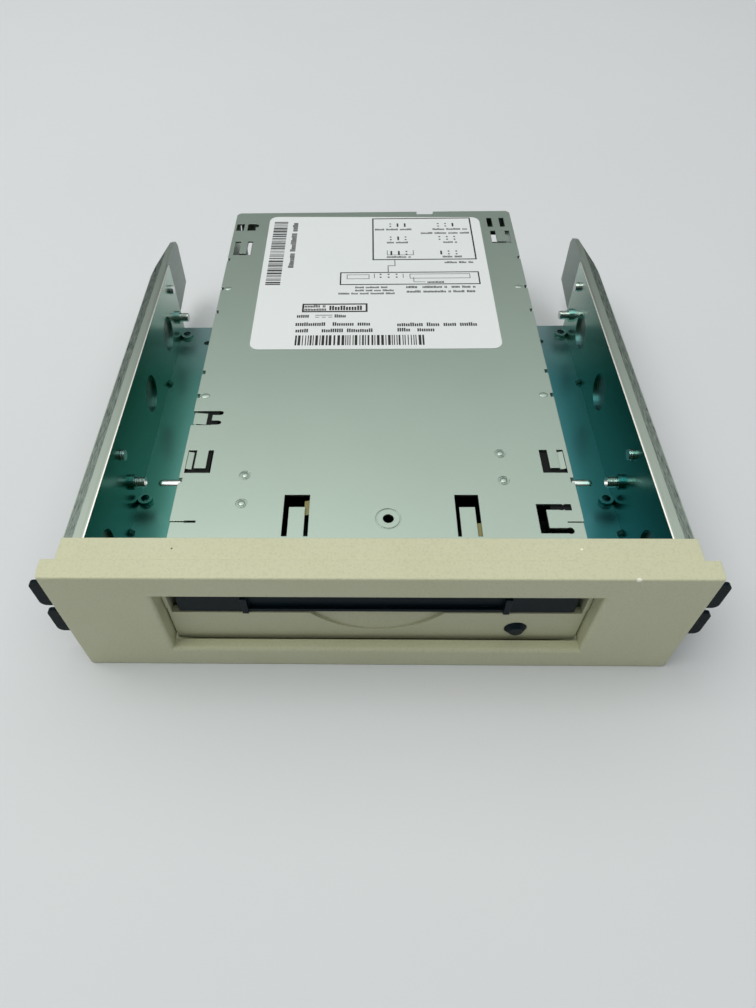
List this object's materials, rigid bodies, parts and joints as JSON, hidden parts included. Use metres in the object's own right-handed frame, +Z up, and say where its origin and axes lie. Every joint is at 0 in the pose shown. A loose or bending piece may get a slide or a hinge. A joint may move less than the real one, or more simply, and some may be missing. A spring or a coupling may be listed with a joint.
{
  "type": "removable-cartridge disk drive",
  "caption": "Removable-cartridge disk drive on a drive-bay adapter tray with a plastic bezel, slide rails, spring latches and working door, button and head mechanism",
  "frame": {"origin": "middle of the object's footprint in X and Y, at the height of the bezel's underside", "axes": "+X to the right seen from the front, +Y from the front bezel to the rear connectors, +Z up"},
  "size_m": [0.1636, 0.167, 0.0415],
  "materials": {
    "bezel_plastic": "fine moulded grain, cream",
    "tray_zinc": "bright zinc plating with a blue-green passivation",
    "rail_zinc": "worn zinc plating",
    "screw_nickel": "bright nickel",
    "latch_plastic": "glossy dark moulding",
    "chassis_alloy": "as cast",
    "cover_zinc": "satin zinc-plated sheet",
    "label_film": "white printed film",
    "panel_plastic": "fine moulded grain",
    "door_plastic": "dark slate, satin",
    "rod_steel": "ground",
    "spring_steel": "drawn wire",
    "button_plastic": "dark slate, satin",
    "board_laminate": "green solder mask",
    "black_nylon": "moulded nylon",
    "led_resin": "tinted resin",
    "motor_steel": "plated steel",
    "chip_epoxy": "moulded epoxy",
    "gold_contact": "gold flash",
    "white_nylon": "natural nylon",
    "tin_contact": "tinned",
    "copper_coil": "enamelled copper wire"
  },
  "bodies": {
    "housing": {"bay_bezel": "bezel_plastic", "adapter_tray": "tray_zinc", "left_rail": "rail_zinc", "right_rail": "rail_zinc", "rail_screws": "screw_nickel", "latch_anchors": "latch_plastic", "drive_mount_screws": "screw_nickel", "drive_chassis": "chassis_alloy", "drive_cover": "cover_zinc", "product_label": "label_film", "chassis_screws": "screw_nickel", "faceplate": "panel_plastic", "door_pin": "rod_steel", "button_spring": "spring_steel", "front_board": "board_laminate", "eject_switch": "black_nylon", "activity_led": "led_resin", "left_guide": "black_nylon", "right_guide": "black_nylon", "spindle_motor": "motor_steel", "circuit_board": "board_laminate", "board_chips": "chip_epoxy", "board_screws": "screw_nickel", "data_connector": "black_nylon", "data_pins": "gold_contact", "power_connector": "white_nylon", "power_pins": "tin_contact", "jumper_block": "black_nylon", "jumper_cap": "black_nylon", "guide_rods": "rod_steel", "magnet_yokes": "motor_steel", "sled_springs": "spring_steel", "eject_solenoid": "motor_steel", "plunger_spring": "spring_steel"},
    "door": {"slot_door": "door_plastic", "door_spring": "spring_steel"},
    "button": {"eject_button": "button_plastic"},
    "latch_left": {"left_latch": "latch_plastic"},
    "latch_right": {"right_latch": "latch_plastic"},
    "hub": {"spindle_hub": "rod_steel"},
    "carriage": {"head_carriage": "black_nylon", "head_arms": "rod_steel", "voice_coils": "copper_coil"},
    "sled": {"eject_sled": "black_nylon"},
    "plunger": {"solenoid_plunger": "rod_steel"}
  },
  "joints": [
    {"name": "door_hinge", "type": "hinge", "parent": "housing", "child": "door", "pos_m": [0, -0.0785, 0.0284], "axis": [1, 0, 0], "range_deg": [0, 80], "stiffness_Nm_per_rad": 0.0005},
    {"name": "button_press", "type": "slide", "parent": "housing", "child": "button", "axis": [0, 1, 0], "range_m": [0, 0.002], "stiffness_N_per_m": 8, "deforming": ["button_spring"]},
    {"name": "left_latch_flex", "type": "hinge", "parent": "housing", "child": "latch_left", "pos_m": [-0.0765, -0.0387, 0.019], "axis": [0, 0, 1], "range_deg": [0, 2], "stiffness_Nm_per_rad": 0.01},
    {"name": "right_latch_flex", "type": "hinge", "parent": "housing", "child": "latch_right", "pos_m": [0.0765, -0.0387, 0.019], "axis": [0, 0, -1], "range_deg": [0, 2], "stiffness_Nm_per_rad": 0.01},
    {"name": "hub_spin", "type": "hinge", "parent": "housing", "child": "hub", "pos_m": [0, -0.0265, 0.017], "axis": [0, 0, 1], "continuous": true},
    {"name": "carriage_seek", "type": "slide", "parent": "housing", "child": "carriage", "axis": [0, -1, 0], "range_m": [0, 0.025]},
    {"name": "sled_load", "type": "slide", "parent": "housing", "child": "sled", "axis": [0, 1, 0], "range_m": [0, 0.008], "stiffness_N_per_m": 15, "deforming": ["sled_springs"]},
    {"name": "plunger_pull", "type": "slide", "parent": "housing", "child": "plunger", "axis": [0, 1, 0], "range_m": [0, 0.003], "stiffness_N_per_m": 20, "deforming": ["plunger_spring"]}
  ]
}
